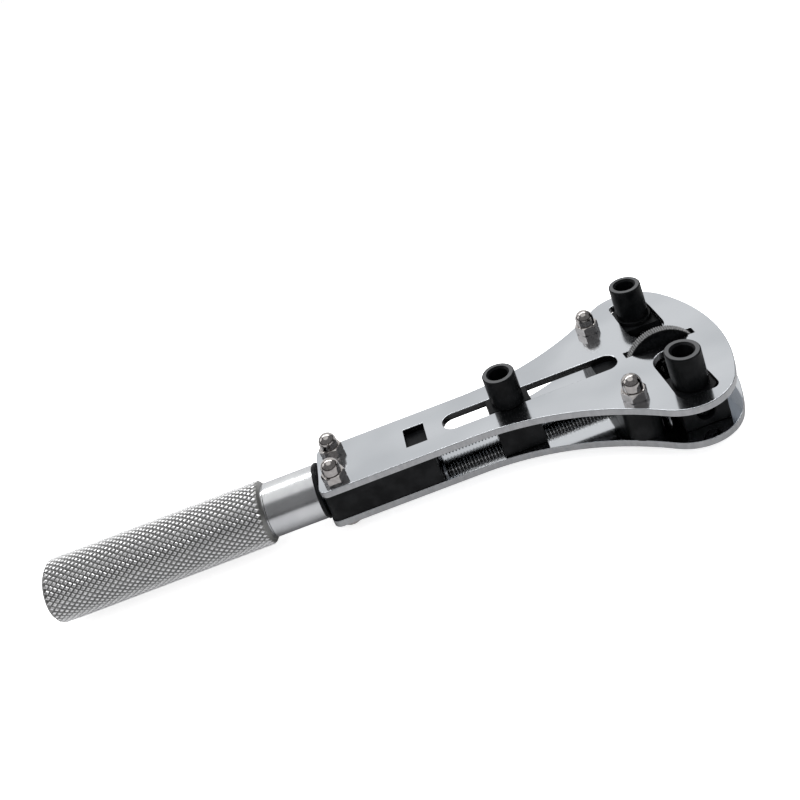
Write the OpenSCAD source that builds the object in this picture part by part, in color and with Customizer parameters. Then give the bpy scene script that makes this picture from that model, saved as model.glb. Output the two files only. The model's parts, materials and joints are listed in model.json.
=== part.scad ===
// Case back opener: three sockets on an adjustable frame.
// The handle turns a lead screw that slides the middle jaw along the strap, and a thumb
// wheel turns a left- and right-hand screw that moves the two head jaws apart or together.
// Millimetres. +X runs from the handle to the head, +Z is up, and the sockets point up.
// The origin is on the surface that the tool lies on, under the middle of its outline.

/* [Handle] */
// Diameter of the knurled grip
grip_d = 18.2; // [16:0.1:22]
// Length of the knurled grip
grip_len = 66.8; // [50:0.1:90]
// Chamfer at both ends of the grip
grip_chamfer = 1.1; // [0.5:0.1:2]
// Diameter of the smooth neck
neck_d = 15.4; // [13:0.1:15.8]
// Length of the smooth neck
neck_len = 16.1; // [10:0.1:25]
// Outer diameter of the washer between the neck and the frame
washer_d = 16; // [15.9:0.1:18]
// Thickness of that washer
washer_t = 1; // [0.6:0.1:2]

/* [Frame] */
// Length of the two plates
frame_len = 120.6; // [112:0.1:150]
// Width of the straight strap
strap_w = 20; // [19.6:0.1:26]
// Radius of the strap's two rear corners
strap_corner_r = 2.5; // [1:0.1:4]
// Width across the head
head_w = 60.8; // [58:0.1:76]
// Radius of the head's two rounded sides
lobe_r = 14; // [11:0.1:16]
// Distance from the head's front to the middle of its rounded sides
lobe_setback = 18.2; // [17:0.1:22]
// Length of each concave flank between the strap and the head
flank_len = 57.5; // [50:0.1:70]
// Thickness of each plate
plate_t = 2.1; // [1.5:0.1:3]
// Space between the two plates
gap = 8.6; // [8.4:0.1:14]

/* [Screws and nuts] */
// Thread diameter of the frame's screws
screw_d = 3.5; // [3:0.5:4]
// Diameter of the low round head under the lower plate
screw_head_d = 6.4; // [6:0.1:7.4]
// Height of that head
screw_head_h = 1.5; // [1.2:0.1:2.6]
// Width of the slot across that head
driver_slot_w = 1.2; // [0.8:0.1:1.6]
// Depth of the slot across that head
driver_slot_depth = 0.8; // [0.5:0.1:1.2]
// Distance from the frame's rear end to the rear screws
rear_screw_x = 5.2; // [4.8:0.1:9]
// Distance between the two rear screws
rear_screw_span = 11.8; // [11.2:0.1:11.9]
// Distance from the frame's front end to the front screws
front_screw_x = 31.3; // [30:0.1:36]
// Distance between the two front screws
front_screw_span = 36.2; // [30:0.1:40]
// Width across the flats of an acorn nut
nut_af = 6.1; // [5.5:0.1:7]
// Height of an acorn nut's hexagon
nut_hex_h = 2.8; // [2.4:0.1:4]
// Height of an acorn nut from its seat to the top of its dome
nut_h = 7; // [6:0.1:9]
// Diameter of an acorn nut's dome
nut_dome_d = 5.4; // [4.6:0.1:6.6]
// Thickness of an acorn nut's roof over the end of its screw
nut_roof = 2.2; // [1.6:0.1:3]

/* [Blocks] */
// Length of the black bearing block at the rear
end_block_len = 33.6; // [28:0.1:34]
// Distance that the rear block stands back from the plates' edges
end_block_inset = 0.3; // [0.1:0.1:1]
// Width of the front bearing bar along the tool
front_bar_w = 10; // [8:0.1:11]
// Clearance between the front bar's hollow and the thumb wheel's rim
bar_wheel_gap = 0.5; // [0.3:0.1:1]

/* [Lead screw] */
// Diameter of the lead screw
lead_d = 6; // [5:0.1:6.4]
// Diameter of the thrust collar behind the rear block
collar_d = 8.2; // [7.6:0.1:8.2]
// Thickness of the thrust collar
collar_t = 1.2; // [0.8:0.1:2]
// Depth that the lead screw enters the handle
lead_grip = 24; // [18:0.5:40]
// Space between the lead screw's front end and the thumb wheel
lead_end_gap = 2; // [1:0.1:4]

/* [Long slot and window] */
// Width of the long slot
slot_w = 6.8; // [5.5:0.1:7.5]
// Length of the long slot
slot_len = 52.8; // [48:0.1:56]
// Distance from the frame's rear end to the slot
slot_x = 38.4; // [38:0.1:42]
// Length of the small window over the rear block
window_len = 6.2; // [4:0.1:8]
// Width of the small window over the rear block
window_w = 8.2; // [5:0.1:10]
// Distance from the frame's rear end to the small window
window_x = 26.8; // [24:0.1:27]

/* [Jaws] */
// Outer diameter of a socket
socket_d = 9.4; // [8.5:0.1:10]
// Diameter of the bore that takes a bit's shank
socket_bore_d = 5.5; // [4:0.1:6]
// Depth of that bore
socket_bore_depth = 8.4; // [6:0.1:8.6]
// Width of the chamfer round the bore's mouth
socket_chamfer = 0.6; // [0.3:0.1:1]
// Diameter of the spigot that holds a socket in its jaw block
spigot_d = 5; // [4:0.1:6]
// Depth of that spigot below the upper plate's underside
spigot_depth = 0.6; // [0.3:0.1:1.2]
// Height of the sockets' rims above the upper plate
socket_h = 9.6; // [9.5:0.1:14]
// Length of a jaw block along the tool
jaw_block_len = 12.4; // [11.5:0.1:13.5]
// Width of the middle jaw block across the tool
mid_block_w = 19; // [14:0.1:19.2]
// Width of a head jaw block across the tool
head_block_w = 12; // [11:0.1:13]
// Distance from the frame's front end to the middle jaw
mid_jaw_x = 62.4; // [56:0.1:68]
// Distance from the frame's front end to the head jaws
head_jaw_x = 16.6; // [16:0.1:18]
// Distance between the two head jaws
head_jaw_span = 38.8; // [22:0.1:40.4]

/* [Head windows and wheel] */
// Length of a head jaw window along the tool
jaw_window_len = 10.9; // [10.4:0.1:12]
// Distance from the middle line to a jaw window's round inner end
jaw_window_in = 4.4; // [3.6:0.1:5]
// Distance from the middle line to a jaw window's outer end
jaw_window_out = 25.6; // [25.4:0.1:26.5]
// Corner radius at a jaw window's outer end
jaw_window_r = 2; // [1:0.1:3]
// Depth of a head jaw's key below the upper plate's face
key_drop = 0.9; // [0.5:0.1:1.4]
// Width of the corner cuts on a head jaw's key
key_corner = 1.7; // [1:0.1:2.5]
// Outer diameter of the thumb wheel
wheel_d = 21.8; // [20:0.1:22.4]
// Thickness of the thumb wheel
wheel_t = 2.2; // [1.8:0.1:2.4]
// Number of serrations round the thumb wheel
wheel_teeth = 96; // [60:1:120]
// Depth of a serration
tooth_h = 0.3; // [0.2:0.05:0.5]
// Length of the wheel's slot in each plate
wheel_slot_len = 20.4; // [19:0.1:22]
// Clearance on each side of the thumb wheel in its slots
wheel_side_gap = 0.175; // [0.1:0.025:0.4]
// Diameter of the cross screw that carries the wheel
cross_d = 5; // [4:0.1:5.2]
// Distance that the cross screw's ends stand back inside the jaw blocks
cross_inset = 1; // [0.5:0.1:2]

/* [Clearances] */
// Radial clearance of a shaft that turns in a bore
run_fit = 0.05; // [0.02:0.01:0.1]
// Clearance on each side of a piece that slides
slide_fit = 0.1; // [0.06:0.01:0.2]
// Gap between faces that turn past each other
face_gap = 0.1; // [0.06:0.01:0.2]
// Radial clearance of a screw in a plate or block
screw_fit = 0.1; // [0.05:0.01:0.2]

/* [Edges] */
// Chamfer at a screw's ends
screw_chamfer = 0.5; // [0.2:0.1:1]
// Chamfer of washers and collars
ring_chamfer = 0.2; // [0.1:0.05:0.4]
// Chamfer round the head of a frame screw
head_chamfer = 0.3; // [0.1:0.05:0.5]
// Chamfer on an acorn nut's hexagon
hex_chamfer = 0.35; // [0.1:0.05:0.6]
// Chamfer round a socket's outer rim
rim_chamfer = 0.25; // [0.1:0.05:0.5]

/* [Hidden] */

$fn = 96;
STEEL = "#c9ced3";
BRIGHT = "#dfe1e2";
BLACK = "#1b1c1e";

// Stations along the tool, from the handle's free end
neck_end = grip_len + neck_len;
frame_x0 = neck_end + washer_t + 2 * face_gap;
frame_x1 = frame_x0 + frame_len;
overall_len = frame_x1;
rear_x = frame_x0 + rear_screw_x;
front_x = frame_x1 - front_screw_x;
head_x = frame_x1 - head_jaw_x;
mid_x = frame_x1 - mid_jaw_x;
end_block_x1 = frame_x0 + end_block_len;

// Heights from the lead screw's axis
half_gap = gap / 2;
half_t = half_gap + plate_t;
socket_top = half_t + socket_h;
axis_z = max(wheel_d / 2, grip_d / 2, half_t + screw_head_h);

// The head's outline: two side arcs, a front arc tangent to both, and two concave flanks
half_w = strap_w / 2;
lobe_x = frame_x1 - lobe_setback;
lobe_y = head_w / 2 - lobe_r;
front_r = (pow(lobe_setback, 2) + pow(lobe_y, 2) - pow(lobe_r, 2)) / (2 * (lobe_setback - lobe_r));
front_cx = frame_x1 - front_r;
lobe_rise = lobe_y - half_w;
flank_r = (pow(flank_len, 2) + pow(lobe_rise, 2) - pow(lobe_r, 2)) / (2 * (lobe_r + lobe_rise));
flank_x = lobe_x - flank_len;

// Fits
lead_bore_r = lead_d / 2 + run_fit;
cross_bore_r = cross_d / 2 + run_fit;
screw_hole_r = screw_d / 2 + screw_fit;
block_h = gap - 2 * slide_fit;
screw_reach = nut_h - nut_roof;
spigot_z = half_gap - spigot_depth;
key_w = slot_w - 2 * slide_fit;
jaw_key_len = jaw_window_len - 2 * slide_fit;
mid_seat_z = half_t + slide_fit;
head_seat_z = half_t - key_drop;
wheel_slot_w = wheel_t + 2 * wheel_side_gap;
lead_x0 = neck_end - lead_grip;
lead_x1 = head_x - wheel_d / 2 - lead_end_gap;
cross_len = head_jaw_span + head_block_w - 2 * cross_inset;

// Moves the tool's own frame to the stored one
module place() {
    translate([-overall_len / 2, 0, axis_z]) children();
}

// A cylinder along +X with a chamfer at each end
module rod_x(x0, x1, d, chamfer = 0) {
    r = d / 2;
    translate([x0, 0, 0]) rotate([0, 90, 0]) rotate_extrude()
        polygon([
            [0, 0], [r - chamfer, 0], [r, chamfer],
            [r, x1 - x0 - chamfer], [r - chamfer, x1 - x0], [0, x1 - x0]
        ]);
}

// A plain hole along X through everything between two stations
module bore_x(x0, x1, r) {
    translate([x0, 0, 0]) rotate([0, 90, 0]) cylinder(r = r, h = x1 - x0);
}

// Screw centres: side is 1 on the left and -1 on the right
function rear_at(side) = [rear_x, side * rear_screw_span / 2, 0];
function front_at(side) = [front_x, side * front_screw_span / 2, 0];

module screw_holes(z0, h) {
    for (side = [-1, 1]) {
        translate(rear_at(side) + [0, 0, z0]) cylinder(r = screw_hole_r, h = h);
        translate(front_at(side) + [0, 0, z0]) cylinder(r = screw_hole_r, h = h);
    }
}

// The rear block's outline: the strap's, set back by an inset
module strap_2d(inset, length) {
    r = strap_corner_r;
    w = strap_w - 2 * inset;
    x0 = frame_x0 + inset;
    for (side = [-1, 1]) translate([x0 + r, side * (w / 2 - r)]) circle(r = r);
    translate([x0, -(w / 2 - r)]) square([r + 1, w - 2 * r]);
    translate([x0 + r, -w / 2]) square([length - r - inset, w]);
}

// Points along an arc, the first one left out
function arc(centre, r, a0, a1, steps) = [
    for (i = [1 : steps]) let (a = a0 + (a1 - a0) * i / steps) centre + r * [cos(a), sin(a)]
];

// One side of a plate's outline, from the rear edge round to the front
function plate_side() =
    let (
        r = strap_corner_r,
        lobe = [lobe_x, lobe_y],
        flank = [flank_x, half_w + flank_r],
        flank_a = atan2(lobe.y - flank.y, lobe.x - flank.x),
        front_a = atan2(lobe.y, lobe.x - front_cx)
    )
    concat(
        [[frame_x0, half_w - r]],
        arc([frame_x0 + r, half_w - r], r, 180, 90, 8),
        [[flank_x, half_w]],
        arc(flank, flank_r, -90, flank_a, 28),
        arc(lobe, lobe_r, flank_a + 180, front_a, 32),
        arc([front_cx, 0], front_r, front_a, 0, 14)
    );

module plate_outline() {
    left = plate_side();
    right = [for (i = [len(left) - 2 : -1 : 0]) [left[i].x, -left[i].y]];
    polygon(concat(left, right));
}

module long_slot_2d() {
    r = slot_w / 2;
    x0 = frame_x0 + slot_x;
    for (x = [x0 + r, x0 + slot_len - r]) translate([x, 0]) circle(r = r);
    translate([x0 + r, -r]) square([slot_len - slot_w, slot_w]);
}

module wheel_slot_2d() {
    translate([head_x - wheel_slot_len / 2, -wheel_slot_w / 2]) square([wheel_slot_len, wheel_slot_w]);
}

// Round towards the wheel, and square with rounded corners towards the head's side
module jaw_window_2d() {
    half = jaw_window_len / 2;
    round_y = jaw_window_in + half;
    translate([head_x, round_y]) circle(r = half);
    translate([head_x - half, round_y]) square([jaw_window_len, jaw_window_out - jaw_window_r - round_y]);
    for (x = [head_x - half + jaw_window_r, head_x + half - jaw_window_r])
        translate([x, jaw_window_out - jaw_window_r]) circle(r = jaw_window_r);
    translate([head_x - half + jaw_window_r, jaw_window_out - 2 * jaw_window_r])
        square([jaw_window_len - 2 * jaw_window_r, 2 * jaw_window_r]);
}

module plate(z0, with_windows) {
    place() difference() {
        translate([0, 0, z0]) linear_extrude(plate_t) plate_outline();
        translate([0, 0, z0 - 1]) linear_extrude(plate_t + 2) {
            wheel_slot_2d();
            if (with_windows) {
                long_slot_2d();
                jaw_window_2d();
                mirror([0, 1]) jaw_window_2d();
                translate([frame_x0 + window_x, -window_w / 2]) square([window_len, window_w]);
            }
        }
        screw_holes(z0 - 1, plate_t + 2);
    }
}

module top_plate() {
    color(STEEL) plate(half_gap, true);
}

module bottom_plate() {
    color(STEEL) plate(-half_t, false);
}

module end_block() {
    color(BLACK) place() difference() {
        translate([0, 0, -half_gap]) linear_extrude(gap) strap_2d(end_block_inset, end_block_len);
        bore_x(frame_x0 - 1, end_block_x1 + 1, lead_bore_r);
        screw_holes(-half_gap - 1, gap + 2);
    }
}

// A bar across the head with round ends, relieved where the wheel turns
module front_bar() {
    r = front_bar_w / 2;
    color(BLACK) place() difference() {
        translate([0, 0, -half_gap]) linear_extrude(gap) {
            for (side = [-1, 1]) translate([front_x, side * front_screw_span / 2]) circle(r = r);
            translate([front_x - r, -front_screw_span / 2]) square([front_bar_w, front_screw_span]);
        }
        bore_x(front_x - r - 1, front_x + r + 1, lead_bore_r);
        screw_holes(-half_gap - 1, gap + 2);
        translate([head_x, 0, 0]) rotate([90, 0, 0])
            cylinder(r = wheel_d / 2 + bar_wheel_gap, h = wheel_t + 2 * bar_wheel_gap, center = true);
    }
}

module handle() {
    color(BRIGHT) place() difference() {
        union() {
            rod_x(0, grip_len, grip_d, grip_chamfer);
            bore_x(grip_len - 1, neck_end, neck_d / 2);
        }
        bore_x(lead_x0, neck_end + 1, lead_d / 2);
    }
}

module neck_washer() {
    color(BLACK) place() difference() {
        rod_x(neck_end, neck_end + washer_t, washer_d, ring_chamfer);
        bore_x(neck_end - 1, neck_end + washer_t + 1, lead_d / 2);
    }
}

module lead_screw() {
    color(BRIGHT) place() rod_x(lead_x0, lead_x1, lead_d, screw_chamfer);
}

module thrust_collar() {
    x0 = end_block_x1 + face_gap;
    color(BRIGHT) place() difference() {
        rod_x(x0, x0 + collar_t, collar_d, ring_chamfer);
        bore_x(x0 - 1, x0 + collar_t + 1, lead_d / 2);
    }
}

// A machine screw from below: a low slotted head under the lower plate, and a shank up into the nut
module frame_screw(at) {
    head_r = screw_head_d / 2;
    color(BRIGHT) place() translate(at) difference() {
        rotate_extrude() polygon([
            [0, -half_t - screw_head_h], [head_r - head_chamfer, -half_t - screw_head_h],
            [head_r, -half_t - screw_head_h + head_chamfer], [head_r, -half_t],
            [screw_d / 2, -half_t], [screw_d / 2, half_t + screw_reach], [0, half_t + screw_reach]
        ]);
        translate([0, 0, -half_t - screw_head_h])
            cube([2 * screw_head_d, driver_slot_w, 2 * driver_slot_depth], center = true);
    }
}

// An acorn nut standing on z = 0: a hexagon chamfered at both ends under a domed cap
module acorn_nut() {
    hex_r = nut_af / 2 / cos(30);
    dome_r = nut_dome_d / 2;
    difference() {
        union() {
            intersection() {
                cylinder(r = hex_r, h = nut_hex_h, $fn = 6);
                rotate_extrude() polygon([
                    [0, 0], [nut_af / 2, 0], [hex_r, hex_chamfer],
                    [hex_r, nut_hex_h - hex_chamfer], [nut_af / 2, nut_hex_h], [0, nut_hex_h]
                ]);
            }
            translate([0, 0, nut_hex_h / 2]) cylinder(r = dome_r, h = nut_h - dome_r - nut_hex_h / 2);
            translate([0, 0, nut_h - dome_r]) sphere(r = dome_r);
        }
        translate([0, 0, -1]) cylinder(d = screw_d, h = screw_reach + 1);
    }
}

module frame_nut(at) {
    color(BRIGHT) place() translate(at + [0, 0, half_t]) acorn_nut();
}

// A socket whose underside is at z = seat, with a spigot in the jaw below it
module socket(seat) {
    r = socket_d / 2;
    bore_r = socket_bore_d / 2;
    floor_z = socket_top - socket_bore_depth;
    rotate_extrude() polygon([
        [0, spigot_z], [spigot_d / 2, spigot_z], [spigot_d / 2, seat], [r, seat],
        [r, socket_top - rim_chamfer], [r - rim_chamfer, socket_top],
        [bore_r + socket_chamfer, socket_top], [bore_r, socket_top - socket_chamfer],
        [bore_r, floor_z], [0, floor_z]
    ]);
}

module spigot_hole(seat) {
    translate([0, 0, spigot_z]) cylinder(d = spigot_d, h = seat - spigot_z + 1);
}

module mid_jaw_block() {
    color(BLACK) place() translate([mid_x, 0, 0]) difference() {
        union() {
            cube([jaw_block_len, mid_block_w, block_h], center = true);
            translate([-jaw_block_len / 2, -key_w / 2, 0]) cube([jaw_block_len, key_w, mid_seat_z]);
        }
        bore_x(-jaw_block_len, jaw_block_len, lead_bore_r);
        spigot_hole(mid_seat_z);
    }
}

module mid_socket() {
    color(BLACK) place() translate([mid_x, 0, 0]) socket(mid_seat_z);
}

// The key fills the window's width: round on the wheel's side, and square with cut corners on the other
module jaw_key_2d() {
    r = jaw_key_len / 2;
    circle(r = r);
    polygon([[-r, 0], [r, 0], [r, r - key_corner], [r - key_corner, r], [key_corner - r, r], [-r, r - key_corner]]);
}

module head_jaw_block() {
    difference() {
        union() {
            cube([jaw_block_len, head_block_w, block_h], center = true);
            linear_extrude(head_seat_z) jaw_key_2d();
        }
        rotate([90, 0, 0]) cylinder(r = cross_bore_r, h = 2 * head_block_w, center = true);
        spigot_hole(head_seat_z);
    }
}

module left_jaw_block() {
    color(BLACK) place() translate([head_x, head_jaw_span / 2, 0]) head_jaw_block();
}

module left_socket() {
    color(BLACK) place() translate([head_x, head_jaw_span / 2, 0]) socket(head_seat_z);
}

module right_jaw_block() {
    color(BLACK) place() translate([head_x, -head_jaw_span / 2, 0]) mirror([0, 1, 0]) head_jaw_block();
}

module right_socket() {
    color(BLACK) place() translate([head_x, -head_jaw_span / 2, 0]) socket(head_seat_z);
}

// A cylinder along +X turned to lie along +Y
module cross_screw() {
    half = cross_len / 2;
    color(BLACK) place() translate([head_x, 0, 0]) rotate([0, 0, 90])
        rod_x(-half, half, cross_d, screw_chamfer);
}

module thumb_wheel() {
    tip = wheel_d / 2;
    root = tip - tooth_h;
    step = 360 / wheel_teeth;
    color(BLACK) place() translate([head_x, wheel_t / 2, 0]) rotate([90, 0, 0]) linear_extrude(wheel_t)
        difference() {
            polygon([for (i = [0 : wheel_teeth - 1], half = [0, 1])
                let (r = half == 0 ? tip : root, a = (i + half / 2) * step) [r * cos(a), r * sin(a)]]);
            circle(d = cross_d);
        }
}

top_plate();
bottom_plate();
end_block();
front_bar();
handle();
neck_washer();
lead_screw();
thrust_collar();
frame_screw(rear_at(1));  // screw_rear_left
frame_screw(rear_at(-1));  // screw_rear_right
frame_screw(front_at(1));  // screw_front_left
frame_screw(front_at(-1));  // screw_front_right
frame_nut(rear_at(1));  // nut_rear_left
frame_nut(rear_at(-1));  // nut_rear_right
frame_nut(front_at(1));  // nut_front_left
frame_nut(front_at(-1));  // nut_front_right
mid_jaw_block();
mid_socket();
left_jaw_block();
left_socket();
right_jaw_block();
right_socket();
cross_screw();
thumb_wheel();
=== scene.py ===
"""Case back opener: finishes, knurl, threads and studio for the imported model. Metres throughout."""

import json
import math

import bmesh
import bpy
from mathutils import Matrix, Vector


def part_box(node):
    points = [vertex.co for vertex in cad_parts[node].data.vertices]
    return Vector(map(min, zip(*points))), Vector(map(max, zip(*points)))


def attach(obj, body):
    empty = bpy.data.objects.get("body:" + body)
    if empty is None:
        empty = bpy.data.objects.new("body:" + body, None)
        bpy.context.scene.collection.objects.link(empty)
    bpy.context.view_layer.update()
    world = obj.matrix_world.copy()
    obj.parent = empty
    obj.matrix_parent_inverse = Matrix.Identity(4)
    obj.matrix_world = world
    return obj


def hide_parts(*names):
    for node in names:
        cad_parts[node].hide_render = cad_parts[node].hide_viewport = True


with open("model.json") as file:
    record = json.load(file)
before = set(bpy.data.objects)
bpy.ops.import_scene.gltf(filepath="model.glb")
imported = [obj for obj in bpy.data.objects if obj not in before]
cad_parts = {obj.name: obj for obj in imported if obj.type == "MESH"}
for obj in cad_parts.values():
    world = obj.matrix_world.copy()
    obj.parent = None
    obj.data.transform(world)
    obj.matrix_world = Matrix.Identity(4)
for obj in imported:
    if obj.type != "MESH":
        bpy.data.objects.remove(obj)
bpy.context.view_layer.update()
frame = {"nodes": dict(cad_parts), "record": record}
PARTS = frame["nodes"]
MM = 0.001
TURN = 2 * math.pi

# The lead screw's axis, the plates' inner faces above it, and the height above which the black parts' upward
# faces get a painted sheen
AXIS = Vector((0, 0, 0))
AXIS.z = (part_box("lead_screw")[0][2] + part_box("lead_screw")[1][2]) / 2
INNER_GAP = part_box("top_plate")[0][2] - AXIS.z
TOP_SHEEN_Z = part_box("mid_socket")[1][2] - 1.5 * MM

# The strip of the plates that holds the long slot and the wheel slot
SLOT_HALF = 4.6 * MM
SLOT_REAR = -15 * MM
SLOT_FRONT = 98 * MM


# ---------------------------------------------------------------- node trees


class Wire:
    """A node's output that takes part in Python expressions."""

    def __init__(self, tree, socket):
        self.tree = tree
        self.socket = socket

    def of(self, name):
        """Another output of the same node."""
        return Wire(self.tree, self.socket.node.outputs[name])

    def maths(self, operation, *values):
        return self.tree.node("ShaderNodeMath", {"operation": operation}, dict(enumerate(values)))

    def __add__(self, other):
        return self.maths("ADD", self, other)

    __radd__ = __add__

    def __sub__(self, other):
        return self.maths("SUBTRACT", self, other)

    def __rsub__(self, other):
        return self.maths("SUBTRACT", other, self)

    def __mul__(self, other):
        return self.maths("MULTIPLY", self, other)

    __rmul__ = __mul__

    def __truediv__(self, other):
        return self.maths("DIVIDE", self, other)

    def __mod__(self, other):
        return self.maths("FLOORED_MODULO", self, other)

    def __floordiv__(self, other):
        return self.maths("FLOOR", self.maths("DIVIDE", self, other))

    def __abs__(self):
        return self.maths("ABSOLUTE", self)

    def __pow__(self, other):
        return self.maths("POWER", self, other)

    def least(self, other):
        return self.maths("MINIMUM", self, other)

    def most(self, other):
        return self.maths("MAXIMUM", self, other)

    def ramp(self, low, high, start=0.0, end=1.0):
        """Goes smoothly from start to end as this goes from low to high."""
        sockets = {"Value": self, "From Min": low, "From Max": high, "To Min": start, "To Max": end}
        return self.tree.node("ShaderNodeMapRange", {"interpolation_type": "SMOOTHSTEP"}, sockets)


class Tree:
    """A node tree whose nodes all come from one method."""

    def __init__(self, owner):
        self.nodes = owner.nodes
        self.links = owner.links

    def node(self, kind, settings=None, sockets=None, out=0):
        made = self.nodes.new(kind)
        for name, value in (settings or {}).items():
            setattr(made, name, value)
        for name, value in (sockets or {}).items():
            if isinstance(value, Wire):
                self.links.new(value.socket, made.inputs[name])
            else:
                made.inputs[name].default_value = value
        return Wire(self, made.outputs[out]) if made.outputs else made

    def split(self, vector):
        """The three numbers of a vector."""
        parts = self.node("ShaderNodeSeparateXYZ", None, {0: vector})
        return parts, parts.of("Y"), parts.of("Z")

    def vector(self, x, y, z):
        return self.node("ShaderNodeCombineXYZ", None, {0: x, 1: y, 2: z})


class Finish(Tree):
    """A procedural metal finish on one Principled shader."""

    def __init__(self, name, fixed):
        self.material = bpy.data.materials.new(name)
        self.material.use_nodes = True
        super().__init__(self.material.node_tree)
        self.shader = self.nodes["Principled BSDF"]
        for socket, value in fixed.items():
            self.shader.inputs[socket].default_value = value
        self.place = self.node("ShaderNodeTexCoord").of("Object")

    def noise(self, scale, stretch=(1, 1, 1), detail=3.0):
        """Noise between about 0.3 and 0.7. scale is in features a metre."""
        sockets = {0: self.place, 1: stretch}
        pulled = self.node("ShaderNodeVectorMath", {"operation": "MULTIPLY"}, sockets)
        return self.node("ShaderNodeTexNoise", None, {"Vector": pulled, "Scale": scale, "Detail": detail})

    def blend(self, share, first, second):
        """A colour that goes from first to second with share."""
        sockets = {0: share, 6: first, 7: second}
        return self.node("ShaderNodeMix", {"data_type": "RGBA"}, sockets, out=2)

    def feed(self, socket, wire):
        self.links.new(wire.socket, self.shader.inputs[socket])

    def relief(self, height, depth, strength=1.0):
        """Raises the surface by height times depth."""
        sockets = {"Height": height, "Distance": depth, "Strength": strength}
        self.feed("Normal", self.node("ShaderNodeBump", None, sockets))


def colour(red, green, blue):
    return (red, green, blue, 1.0)


def plate_nickel():
    """Nickel-plated sheet with a grain along the tool, duller cut edges, and slot walls coloured near black
    as a painted dark reflection.
    """
    made = Finish("plate_nickel", {"Metallic": 1.0})
    grain = made.noise(900, (0.02, 1, 1), 4)
    haze = made.noise(38, (0.7, 1, 1), 2)
    speckle = made.noise(1500, (1, 1, 1), 2)
    upright = made.split(made.node("ShaderNodeNewGeometry").of("Normal"))[2]
    cut = (1 - abs(upright)).ramp(0.45, 0.95)
    cut_marks = made.noise(900, (1, 1, 0.3), 3)
    face = made.blend(haze.ramp(0.35, 0.65), colour(0.47, 0.49, 0.515), colour(0.56, 0.58, 0.605))
    edge = made.blend(cut_marks.ramp(0.3, 0.7), colour(0.36, 0.365, 0.375), colour(0.42, 0.425, 0.435))
    x, y, z = made.split(made.place)
    across = 1 - abs(y).ramp(SLOT_HALF, SLOT_HALF + 0.4 * MM)
    along = x.ramp(SLOT_REAR, SLOT_REAR + 1 * MM) * (1 - x.ramp(SLOT_FRONT, SLOT_FRONT + 1 * MM))
    slots = across * along
    # Painted dark reflection: the walls of the long slot and the wheel slot are coloured near black.
    painted_dark_slot_walls = made.blend(slots, edge, colour(0.075, 0.076, 0.078))
    made.feed("Base Color", made.blend(cut, face, painted_dark_slot_walls))
    outer = abs(z - AXIS.z).ramp(INNER_GAP + 0.1 * MM, INNER_GAP + 0.5 * MM)
    brushed = 0.05 + grain * 0.09 + haze * 0.05 + cut * 0.22
    made.feed("Roughness", brushed * outer + (1 - outer) * (0.06 + haze * 0.04))
    made.relief(grain * 0.7 + speckle * 0.2 + cut * cut_marks, 1.5e-6)
    return made.material


def blacked_steel():
    """Blacked steel: soft satin black, with fine turning lines, and a painted grey sheen on upward faces
    near the sockets' tops.
    """
    made = Finish("blacked_steel", {"Metallic": 0.0, "IOR": 1.5, "Specular IOR Level": 0.08})
    mottle = made.noise(260, (1, 1, 1), 4)
    lines = made.noise(2600, (0.06, 0.06, 1), 2)
    black = made.blend(mottle.ramp(0.35, 0.7), colour(0.002, 0.0022, 0.0025), colour(0.0055, 0.0058, 0.0064))
    upright = made.split(made.node("ShaderNodeNewGeometry").of("Normal"))[2]
    height = made.split(made.place)[2]
    # Painted highlight: upward faces above the sockets' top rims are coloured grey, standing in for the
    # bright sky they would mirror.
    painted_top_sheen = upright.ramp(0.9, 0.99) * height.ramp(TOP_SHEEN_Z, TOP_SHEEN_Z + 0.5 * MM)
    made.feed("Base Color", made.blend(painted_top_sheen, black, colour(0.055, 0.056, 0.058)))
    made.feed("Roughness", 0.26 + mottle * 0.16)
    made.relief(lines * 0.5 + mottle * 0.5, 4e-6)
    return made.material


def wheel_black():
    """The thumb wheel's blacked steel, worn greyer on its serrated rim."""
    made = Finish("wheel_black", {"Metallic": 0.0, "IOR": 1.5, "Specular IOR Level": 0.08})
    low, high = (Vector(corner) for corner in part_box("thumb_wheel"))
    hub = (low + high) / 2
    x, _, z = made.split(made.place)
    reach = ((x - hub.x) ** 2 + (z - hub.z) ** 2) ** 0.5
    rim = high.z - hub.z
    tip = reach.ramp(rim - 0.45 * MM, rim - 0.05 * MM)
    wear = made.noise(1400, (1, 1, 1), 4)
    black = made.blend(wear.ramp(0.4, 0.65), colour(0.002, 0.0022, 0.0025), colour(0.006, 0.0063, 0.007))
    made.feed("Base Color", made.blend(tip * wear.ramp(0.3, 0.6, 0.5, 1), black, colour(0.13, 0.13, 0.132)))
    made.feed("Roughness", 0.34 + wear * 0.2)
    made.relief(made.noise(3000, (1, 0.1, 1), 2), 6e-6)
    return made.material


def turned_chrome():
    """Bright chrome over a turned surface: fine rings round the tool's axis."""
    made = Finish("turned_chrome", {"Metallic": 1.0})
    rings = made.noise(3200, (1, 0.02, 0.02), 3)
    haze = made.noise(120, (1, 1, 1), 3)
    tone = made.blend(haze.ramp(0.35, 0.65), colour(0.56, 0.57, 0.585), colour(0.64, 0.65, 0.66))
    made.feed("Base Color", tone)
    made.feed("Roughness", 0.15 + rings * 0.1 + haze * 0.08)
    made.relief(rings, 1.6e-6)
    return made.material


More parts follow.
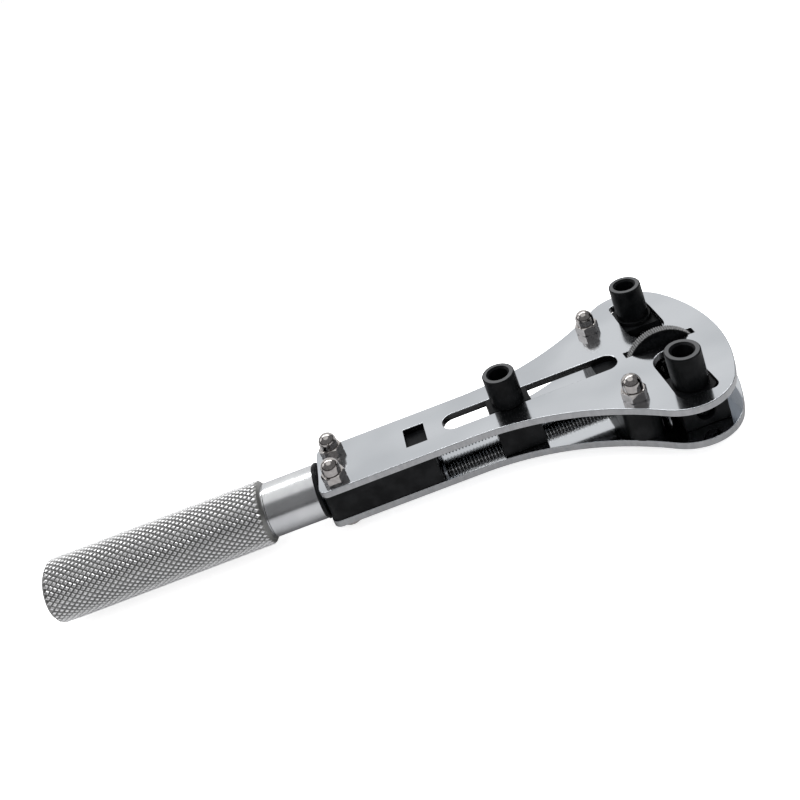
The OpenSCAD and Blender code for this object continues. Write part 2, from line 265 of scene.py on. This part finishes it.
def knurl_chrome(axis_z, root, tip):
    """Chrome on the knurl: bright flats, with painted shade darkening the grooves."""
    made = Finish("knurl_chrome", {"Metallic": 1.0})
    _, y, z = made.split(made.place)
    reach = (y**2 + (z - axis_z) ** 2) ** 0.5
    grime = made.noise(600, (1, 1, 1), 4)
    flat = reach.ramp(root, root + (tip - root) * 0.85)
    bright = made.blend(grime.ramp(0.35, 0.65), colour(0.8, 0.8, 0.81), colour(0.9, 0.9, 0.905))
    # Painted shade: the grooves between the diamonds are coloured much darker than the flats.
    made.feed("Base Color", made.blend(flat, colour(0.26, 0.26, 0.255), bright))
    made.feed("Roughness", 0.34 - flat * 0.1 + grime * 0.1)
    made.relief(grime, 8e-6)
    return made.material


def thread_steel(name, axis, root, tip, tones):
    """A screw's bright crests over roots darkened by painted shade. axis gives the two coordinates across
    the screw.
    """
    made = Finish(name, {"Metallic": 1.0})
    spread = made.split(made.place)
    first, second = ((spread[i] - centre) ** 2 for i, centre in axis)
    crest = ((first + second) ** 0.5).ramp(root, tip)
    oil = made.noise(800, (1, 1, 1), 4)
    # Painted shade: the thread roots take the dark first tone and the crests the bright second tone.
    made.feed("Base Color", made.blend(crest * oil.ramp(0.2, 0.55, 0.6, 1), *tones))
    made.feed("Roughness", 0.22 - crest * 0.02 + oil * 0.1)
    made.relief(oil, 3e-6)
    return made.material


def polished_nickel():
    """Acorn nuts: polished nickel, a touch warm, with a faint orange peel."""
    made = Finish("polished_nickel", {"Metallic": 1.0})
    peel = made.noise(420, (1, 1, 1), 2)
    smear = made.noise(900, (1, 1, 1), 4)
    tone = made.blend(smear.ramp(0.35, 0.65), colour(0.38, 0.362, 0.352), colour(0.47, 0.45, 0.438))
    made.feed("Base Color", tone)
    made.feed("Roughness", 0.06 + smear * 0.12)
    made.relief(peel, 1.2e-5)
    return made.material


# ---------------------------------------------------------------- pieces


def keep(mesh, name, body, slot, material, *nodes):
    """Makes a mesh a piece of the object that stands for CAD nodes."""
    if not mesh.materials:
        mesh.materials.append(material)
    for index in range(len(mesh.materials)):
        mesh.materials[index] = material
    piece = bpy.data.objects.new(name, mesh)
    bpy.context.scene.collection.objects.link(piece)
    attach(piece, body)
    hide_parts(*nodes)
    return piece


def flattened(owner):
    """The mesh that an object's modifiers make. The object is removed."""
    graph = bpy.context.evaluated_depsgraph_get()
    mesh = bpy.data.meshes.new_from_object(owner.evaluated_get(graph))
    bpy.data.objects.remove(owner)
    return mesh


def broken_edges(node, width, steps=2):
    """A copy of a CAD node's mesh whose sharp edges are rounded over."""
    mesh = PARTS[node].data.copy()
    work = bmesh.new()
    work.from_mesh(mesh)
    bmesh.ops.remove_doubles(work, verts=work.verts, dist=1e-6)
    bmesh.ops.dissolve_limit(work, angle_limit=math.radians(0.4), verts=work.verts, edges=work.edges)
    for face in work.faces:
        face.smooth = True
    work.to_mesh(mesh)
    work.free()
    if "custom_normal" in mesh.attributes:
        mesh.attributes.remove(mesh.attributes["custom_normal"])
    owner = bpy.data.objects.new(node + "_copy", mesh)
    bpy.context.scene.collection.objects.link(owner)
    bevel = owner.modifiers.new("edge", "BEVEL")
    bevel.width = width
    bevel.segments = steps
    bevel.limit_method = "ANGLE"
    bevel.angle_limit = math.radians(35)
    bevel.harden_normals = True
    return flattened(owner)


def grown(tree, base, sizes):
    """Runs a Geometry Nodes tree once on a base mesh, and returns the plain mesh that it makes."""
    owner = bpy.data.objects.new("grown", base)
    bpy.context.scene.collection.objects.link(owner)
    modifier = owner.modifiers.new("grow", "NODES")
    modifier.node_group = tree
    for item in tree.interface.items_tree:
        if item.in_out == "INPUT" and item.name in sizes:
            modifier[item.identifier] = sizes[item.name]
    return flattened(owner)


def new_tree(name, sizes):
    """A Geometry Nodes tree with named inputs. Returns the group, its tree and a wire for each input."""
    group = bpy.data.node_groups.new(name, "GeometryNodeTree")
    group.interface.new_socket("Geometry", in_out="INPUT", socket_type="NodeSocketGeometry")
    group.interface.new_socket("Geometry", in_out="OUTPUT", socket_type="NodeSocketGeometry")
    for label, kind in sizes.items():
        group.interface.new_socket(label, in_out="INPUT", socket_type="NodeSocket" + kind)
    tree = Tree(group)
    start = tree.node("NodeGroupInput")
    return group, tree, {label: start.of(label) for label in ("Geometry", *sizes)}


def close_tree(tree, geometry, finish):
    """Ends a tree: real geometry with its finish."""
    real = tree.node("GeometryNodeRealizeInstances", None, {"Geometry": geometry})
    dressed = tree.node("GeometryNodeSetMaterial", None, {"Geometry": real, "Material": finish})
    tree.node("NodeGroupOutput", None, {"Geometry": dressed})


def knurl_tree():
    """Sets one diamond in rings along the grip, each ring half a diamond round from the last."""
    sizes = {"Around": "Int", "Rings": "Int", "First": "Float", "Step": "Float", "Finish": "Material"}
    group, tree, size = new_tree("knurl", sizes)
    index = tree.node("GeometryNodeInputIndex")
    ring = index // size["Around"]
    place = tree.vector(size["First"] + ring * size["Step"], 0.0, 0.0)
    total = size["Around"] * size["Rings"]
    points = tree.node("GeometryNodePoints", None, {"Count": total, "Position": place})
    angle = (index % size["Around"] + (ring % 2) * 0.5) * TURN / size["Around"]
    turned = tree.vector(angle, 0.0, 0.0)
    sockets = {"Points": points, "Instance": size["Geometry"], "Rotation": turned}
    close_tree(tree, tree.node("GeometryNodeInstanceOnPoints", None, sockets), size["Finish"])
    return group


def thread_tree():
    """A screw along +X: a sheet rolled into a helix, with coned and closed ends.

    Each pitch has a few samples, and spare pitches at both ends are drawn in to the cones.
    """
    sizes = {
        "Start": "Float",
        "Length": "Float",
        "Pitch": "Float",
        "Hand": "Float",
        "Root": "Float",
        "Depth": "Float",
        "Around": "Int",
        "Finish": "Material",
    }
    group, tree, size = new_tree("thread", sizes)
    samples = 4
    spare = 2.5
    abrupt = 1e6
    rows = (size["Length"] / size["Pitch"] + 2 * spare) * samples + 1
    grid = tree.node(
        "GeometryNodeMeshGrid",
        None,
        {"Size X": 1.0, "Size Y": 1.0, "Vertices X": rows, "Vertices Y": size["Around"] + 1},
    )
    index = tree.node("GeometryNodeInputIndex")
    columns = size["Around"] + 1
    row = index // columns
    turn = (index % columns) / size["Around"]
    along = (row / samples + turn * size["Hand"] - spare) * size["Pitch"]
    inside = along.most(0.0).least(size["Length"])
    past = abs(along - inside)
    phase = row % samples
    crest = phase.least(samples - 1 - phase).least(1.0)
    margin = inside.least(size["Length"] - inside)
    height = (crest * size["Depth"]).least(margin)
    cone = size["Root"] * (1 - past / size["Pitch"]).most(0.0)
    reach = cone + height * (1 - (past * abrupt).least(1.0))
    angle = turn * TURN
    sine = angle.maths("SINE", angle)
    cosine = angle.maths("COSINE", angle)
    place = tree.vector(size["Start"] + inside, reach * sine, reach * cosine)
    rolled = tree.node("GeometryNodeSetPosition", None, {"Geometry": grid, "Position": place})
    merged = tree.node("GeometryNodeMergeByDistance", None, {"Geometry": rolled, "Distance": 2e-6})
    close_tree(tree, merged, size["Finish"])
    return group


def facing_out(mesh):
    """Turns a closed mesh's faces outwards."""
    work = bmesh.new()
    work.from_mesh(mesh)
    bmesh.ops.dissolve_degenerate(work, dist=1e-7, edges=work.edges)
    bmesh.ops.recalc_face_normals(work, faces=work.faces)
    work.to_mesh(mesh)
    work.free()


def joined(name, *meshes):
    """One mesh from several. Each keeps its own faces and smoothing."""
    work = bmesh.new()
    for mesh in meshes:
        work.from_mesh(mesh)
    mesh = bpy.data.meshes.new(name)
    work.to_mesh(mesh)
    work.free()
    return mesh


def lathe(name, profile, centre, around=96):
    """A closed solid turned about a line along +X. profile lists (x, radius) from end to end."""
    work = bmesh.new()
    rings = []
    for x, radius in profile:
        if radius == 0:
            rings.append([work.verts.new((x, centre.y, centre.z))] * around)
            continue
        steps = [TURN * i / around for i in range(around)]
        spots = [(x, centre.y + radius * math.sin(a), centre.z + radius * math.cos(a)) for a in steps]
        rings.append([work.verts.new(spot) for spot in spots])
    for low, high in zip(rings, rings[1:]):
        for i in range(around):
            j = (i + 1) % around
            corners = dict.fromkeys((low[i], low[j], high[j], high[i]))
            if len(corners) > 2:
                work.faces.new(list(corners)).smooth = True
    bmesh.ops.recalc_face_normals(work, faces=work.faces)
    mesh = bpy.data.meshes.new(name)
    work.to_mesh(mesh)
    work.free()
    mesh.set_sharp_from_angle(angle=math.radians(30))
    return mesh


def knurl_diamond(root, tip, half_length, half_turn):
    """One raised diamond at x = 0 on the top of the grip: steep flanks and a slightly crowned flat."""
    work = bmesh.new()

    def ring(share, radius):
        spots = []
        for x, turn in ((1, 0), (0, 1), (-1, 0), (0, -1)):
            angle = turn * share * half_turn
            spots.append((x * share * half_length, radius * math.sin(angle), radius * math.cos(angle)))
        return [work.verts.new(spot) for spot in spots]

    rings = [ring(0.99, root - 0.03 * MM), ring(0.9, root + 0.02 * MM), ring(0.5, tip - 0.04 * MM)]
    rings.append(ring(0.3, tip))
    for low, high in zip(rings, rings[1:]):
        for i in range(4):
            j = (i + 1) % 4
            work.faces.new((low[i], low[j], high[j], high[i]))
    work.faces.new(rings[-1])
    work.faces.new(rings[0][::-1])
    bmesh.ops.recalc_face_normals(work, faces=work.faces)
    mesh = bpy.data.meshes.new("knurl_diamond")
    work.to_mesh(mesh)
    work.free()
    return mesh


NICKEL = plate_nickel()
BLACK = blacked_steel()
CHROME = turned_chrome()
POLISHED = polished_nickel()

# The two plates, the black blocks and sockets, the nuts and the screws, with their edges broken
PLATE_EDGE = 0.32 * MM
NUT_EDGE = 0.1 * MM
SCREW_EDGE = 0.08 * MM
COLLAR_EDGE = 0.1 * MM
for node in ("top_plate", "bottom_plate"):
    keep(broken_edges(node, PLATE_EDGE, 3), node + "_plated", "frame", "plate_steel", NICKEL, node)
for node, body, width in (
    ("end_block", "frame", 0.25),
    ("front_bar", "frame", 0.25),
    ("neck_washer", "drive", 0.12),
    ("mid_jaw_block", "mid_jaw", 0.2),
    ("mid_socket", "mid_jaw", 0.1),
    ("left_jaw_block", "left_jaw", 0.2),
    ("left_socket", "left_jaw", 0.1),
    ("right_jaw_block", "right_jaw", 0.2),
    ("right_socket", "right_jaw", 0.1),
):
    keep(broken_edges(node, width * MM), node + "_blacked", body, "black_steel", BLACK, node)
for node in sorted(PARTS):
    if node.startswith("nut_"):
        keep(broken_edges(node, NUT_EDGE), node + "_polished", "frame", "nut_nickel", POLISHED, node)
    if node.startswith("screw_"):
        keep(broken_edges(node, SCREW_EDGE), node + "_plated", "frame", "nut_nickel", POLISHED, node)

# The grip's knurl, its core and the neck
grip_low, grip_high = (Vector(corner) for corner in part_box("handle"))
GRIP_R = grip_high.y
GRIP_LEN = 66.8 * MM
NECK_R = 7.7 * MM
NECK_EDGE = 0.3 * MM
CHAMFER = 1.1 * MM
KNURL_DEPTH = 0.34 * MM
KNURL_AROUND = 36
KNURL_RINGS = 56
root_r = GRIP_R - KNURL_DEPTH
grip_end = grip_low.x + GRIP_LEN
knurl_x0 = grip_low.x + CHAMFER / 2
knurl_step = (GRIP_LEN - CHAMFER) / (KNURL_RINGS + 1)
KNURLED = knurl_chrome(AXIS.z, root_r, GRIP_R)

diamond = knurl_diamond(root_r, GRIP_R, knurl_step, math.pi / KNURL_AROUND)
diamonds = grown(
    knurl_tree(),
    diamond,
    {
        "Around": KNURL_AROUND,
        "Rings": KNURL_RINGS,
        "First": knurl_x0 + knurl_step,
        "Step": knurl_step,
        "Finish": KNURLED,
    },
)
diamonds.transform(Matrix.Translation(AXIS))
end_drop = CHAMFER + root_r - GRIP_R
core = lathe(
    "core",
    [
        (grip_low.x, 0),
        (grip_low.x, root_r - end_drop),
        (grip_low.x + end_drop, root_r),
        (grip_end - end_drop, root_r),
        (grip_end, root_r - end_drop),
        (grip_end, 0),
    ],
    AXIS,
)
keep(joined("grip", core, diamonds), "grip_knurled", "drive", "handle_chrome", KNURLED, "handle")
neck_mesh = lathe(
    "neck",
    [
        (grip_end - 1 * MM, 0),
        (grip_end - 1 * MM, NECK_R - NECK_EDGE),
        (grip_end + 0.4 * MM, NECK_R - NECK_EDGE),
        (grip_end + 0.4 * MM + NECK_EDGE, NECK_R),
        (grip_high.x - NECK_EDGE, NECK_R),
        (grip_high.x, NECK_R - NECK_EDGE),
        (grip_high.x, 0),
    ],
    AXIS,
)
keep(neck_mesh, "neck_turned", "drive", "handle_chrome", CHROME, "handle")

# The lead screw and its collar
lead_low, lead_high = (Vector(corner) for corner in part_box("lead_screw"))
LEAD_R = lead_high.y
collar_high = Vector(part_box("thrust_collar")[1])
pitches = {c["joint"]: abs(c["ratio"]) * TURN for c in frame["record"]["behaviour"]["couplings"]}
THREAD = thread_tree()
LEAD_DEPTH = 0.55 * MM
SCREW_END = 0.4 * MM
RELIEF = 0.3 * MM
lead_finish = thread_steel(
    "lead_thread_steel",
    ((1, 0.0), (2, AXIS.z)),
    LEAD_R - LEAD_DEPTH,
    LEAD_R,
    # Dark root colour for the painted shade, then the bright crest colour
    (colour(0.1, 0.1, 0.098), colour(0.62, 0.61, 0.6)),
)
lead_thread = grown(
    THREAD,
    bpy.data.meshes.new("bare"),
    {
        "Start": collar_high.x,
        "Length": lead_high.x - collar_high.x,
        "Pitch": pitches["mid_jaw_slide"],
        "Hand": 1.0,
        "Root": LEAD_R - LEAD_DEPTH,
        "Depth": LEAD_DEPTH,
        "Around": 36,
        "Finish": lead_finish,
    },
)
lead_thread.transform(Matrix.Translation(AXIS))
facing_out(lead_thread)
shank = lathe(
    "shank",
    [
        (lead_low.x, 0),
        (lead_low.x, LEAD_R - SCREW_END),
        (lead_low.x + SCREW_END, LEAD_R),
        (collar_high.x - RELIEF, LEAD_R),
        (collar_high.x + RELIEF, LEAD_R - 2 * RELIEF),
        (collar_high.x + RELIEF, 0),
    ],
    AXIS,
    48,
)
lead_mesh = joined("lead", shank, lead_thread)
keep(lead_mesh, "lead_screw_threaded", "drive", "screw_steel", lead_finish, "lead_screw")
collar_mesh = broken_edges("thrust_collar", COLLAR_EDGE)
keep(collar_mesh, "thrust_collar_bright", "drive", "screw_steel", CHROME, "thrust_collar")

# The cross screw: left-hand thread on one side of the wheel and right-hand on the other
cross_low, cross_high = (Vector(corner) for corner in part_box("cross_screw"))
CROSS_R = (cross_high.x - cross_low.x) / 2
CROSS_DEPTH = 0.42 * MM
CROSS_PLAIN = 3.0 * MM
cross_mid = (cross_low + cross_high) / 2
cross_finish = thread_steel(
    "cross_thread_steel",
    ((0, cross_mid.x), (2, cross_mid.z)),
    CROSS_R - CROSS_DEPTH,
    CROSS_R,
    # Dark root colour for the painted shade, then the crest colour
    (colour(0.015, 0.015, 0.016), colour(0.16, 0.16, 0.162)),
)
halves = []
for hand in (1.0, -1.0):
    half = grown(
        THREAD,
        bpy.data.meshes.new("bare"),
        {
            "Start": CROSS_PLAIN,
            "Length": cross_high.y - CROSS_PLAIN,
            "Pitch": pitches["left_jaw_slide"],
            "Hand": hand,
            "Root": CROSS_R - CROSS_DEPTH,
            "Depth": CROSS_DEPTH,
            "Around": 30,
            "Finish": cross_finish,
        },
    )
    half.transform(Matrix.Rotation(hand * math.pi / 2, 4, "Z"))
    facing_out(half)
    halves.append(half)
plain = lathe(
    "plain",
    [
        (-CROSS_PLAIN - RELIEF, 0),
        (-CROSS_PLAIN - RELIEF, CROSS_R - SCREW_END),
        (-CROSS_PLAIN + 0.1 * MM, CROSS_R),
        (CROSS_PLAIN - 0.1 * MM, CROSS_R),
        (CROSS_PLAIN + RELIEF, CROSS_R - SCREW_END),
        (CROSS_PLAIN + RELIEF, 0),
    ],
    Vector((0, 0, 0)),
    48,
)
plain.transform(Matrix.Rotation(math.pi / 2, 4, "Z"))
cross_mesh = joined("cross", plain, *halves)
cross_mesh.transform(Matrix.Translation((cross_mid.x, 0, cross_mid.z)))
keep(cross_mesh, "cross_screw_threaded", "cross", "black_steel", cross_finish, "cross_screw")

# The thumb wheel keeps the CAD mesh
PARTS["thumb_wheel"].data.materials.clear()
PARTS["thumb_wheel"].data.materials.append(wheel_black())


# ---------------------------------------------------------------- studio


def plain_paint(name, tone, rough, glow=0.0):
    """A matt finish with a very faint mottle, for the floor and the cards."""
    made = Finish(name, {"Roughness": rough, "Specular IOR Level": 0.2, "Emission Strength": glow})
    mottle = made.noise(3, (1, 1, 1), 2)
    dark = tuple(part * 0.985 for part in tone[:3])
    made.feed("Base Color", made.blend(mottle, colour(*dark), tone))
    made.shader.inputs["Emission Color"].default_value = colour(1.0, 1.0, 1.0)
    return made.material


def sheet_of(name, spots, faces, material):
    """A card or floor that belongs to the studio, not to the object."""
    mesh = bpy.data.meshes.new(name)
    mesh.from_pydata(spots, [], faces)
    mesh.materials.append(material)
    thing = bpy.data.objects.new(name, mesh)
    bpy.context.scene.collection.objects.link(thing)
    return thing


def soft_light(name, place, aim, width, height, power, mirrored=True):
    """An area light that points at aim and isn't seen itself. Bright metal can mirror it."""
    lamp = bpy.data.lights.new(name, "AREA")
    lamp.shape = "RECTANGLE"
    lamp.size = width
    lamp.size_y = height
    lamp.energy = power
    thing = bpy.data.objects.new(name, lamp)
    thing.location = place
    thing.rotation_mode = "QUATERNION"
    thing.rotation_quaternion = (Vector(place) - Vector(aim)).to_track_quat("Z", "Y")
    thing.visible_camera = False
    thing.visible_glossy = mirrored
    bpy.context.scene.collection.objects.link(thing)


def level_sheet(name, half, z, material):
    """A level square card, half a side either way from the origin."""
    spots = [(x * half, y * half, z) for x, y in ((-1, -1), (1, -1), (1, 1), (-1, 1))]
    return sheet_of(name, spots, [(0, 1, 2, 3)], material)


def only_reflected(thing):
    """Leaves a card in the reflections of bright metal only."""
    thing.visible_camera = False
    thing.visible_diffuse = False
    thing.visible_shadow = False


def near_card(name, elevations, tone):
    """A curved card round the near side, between the given elevations in degrees."""
    azimuths = range(-140, 141, 10)
    spots = []
    for el in elevations:
        for az in azimuths:
            e, a = math.radians(el), math.radians(az)
            reach = CARD_R * math.cos(e)
            spots.append((reach * math.sin(a), -reach * math.cos(a), CARD_R * math.sin(e)))
    row = len(azimuths)
    faces = [
        (r * row + c, r * row + c + 1, (r + 1) * row + c + 1, (r + 1) * row + c)
        for r in range(len(elevations) - 1)
        for c in range(row - 1)
    ]
    only_reflected(sheet_of(name, spots, faces, plain_paint(name + "_paint", tone, MATT)))


# A white floor, and a grey card just above it that only reflections show
FLOOR_Z = -0.2 * MM
TABLE_CARD_Z = -0.1 * MM
MATT = 0.9
floor_paint = plain_paint("floor_white", colour(0.9, 0.9, 0.9), MATT, glow=0.65)
level_sheet("studio_floor", 30.0, FLOOR_Z, floor_paint)
table_paint = plain_paint("table_grey", colour(0.36, 0.36, 0.365), MATT)
only_reflected(level_sheet("table_card", 3.0, TABLE_CARD_Z, table_paint))

# The near side of the room, as bright metal shows it: dark along the table and grey above
CARD_R = 1.6
near_card("low_card", elevations=(-3, 4, 11), tone=colour(0.02, 0.02, 0.02))
near_card("high_card", elevations=(11, 22, 34, 46, 62), tone=colour(0.11, 0.11, 0.112))

world = bpy.data.worlds.new("studio_room")
world.use_nodes = True
world.node_tree.nodes["Background"].inputs["Color"].default_value = colour(1.0, 1.0, 1.0)
world.node_tree.nodes["Background"].inputs["Strength"].default_value = 1.0
bpy.context.scene.world = world

# The main light overhead, a strip that gives the plates their bright band, and a weak bank
MIDDLE = (0.02, 0, 0)
soft_light("overhead", (0.0, 0.15, 1.3), MIDDLE, width=1.3, height=0.9, power=22, mirrored=False)
soft_light("far_strip", (0.02, 0.72, 1.12), MIDDLE, width=1.8, height=0.24, power=8)
soft_light("left_bank", (-1.2, 0.5, 0.7), (0, 0, 0), width=0.7, height=0.7, power=2)

# The camera stands on the near side, above the tool, and leans to the left
EYE = Vector((0.02949, -0.20701, 0.1677))
LOOK = Vector((0.01848, 0.23463, 0.0109))
LEAN = math.radians(21.656)
eye = bpy.data.cameras.new("eye")
eye.sensor_width = 36
eye.lens = 38.72
eye.shift_x = 0.047
eye.shift_y = -0.2709
eye.clip_start = 0.01
eye.clip_end = 100
camera = bpy.data.objects.new("eye", eye)
bpy.context.scene.collection.objects.link(camera)
ahead = (LOOK - EYE).normalized()
level = ahead.cross(Vector((0, 0, 1))).normalized()
rise = level.cross(ahead)
right = level * math.cos(LEAN) - rise * math.sin(LEAN)
up = level * math.sin(LEAN) + rise * math.cos(LEAN)
camera.matrix_world = Matrix(
    (
        (right.x, up.x, -ahead.x, EYE.x),
        (right.y, up.y, -ahead.y, EYE.y),
        (right.z, up.z, -ahead.z, EYE.z),
        (0, 0, 0, 1),
    )
)
bpy.context.scene.camera = camera
bpy.context.scene.view_settings.view_transform = "Standard"
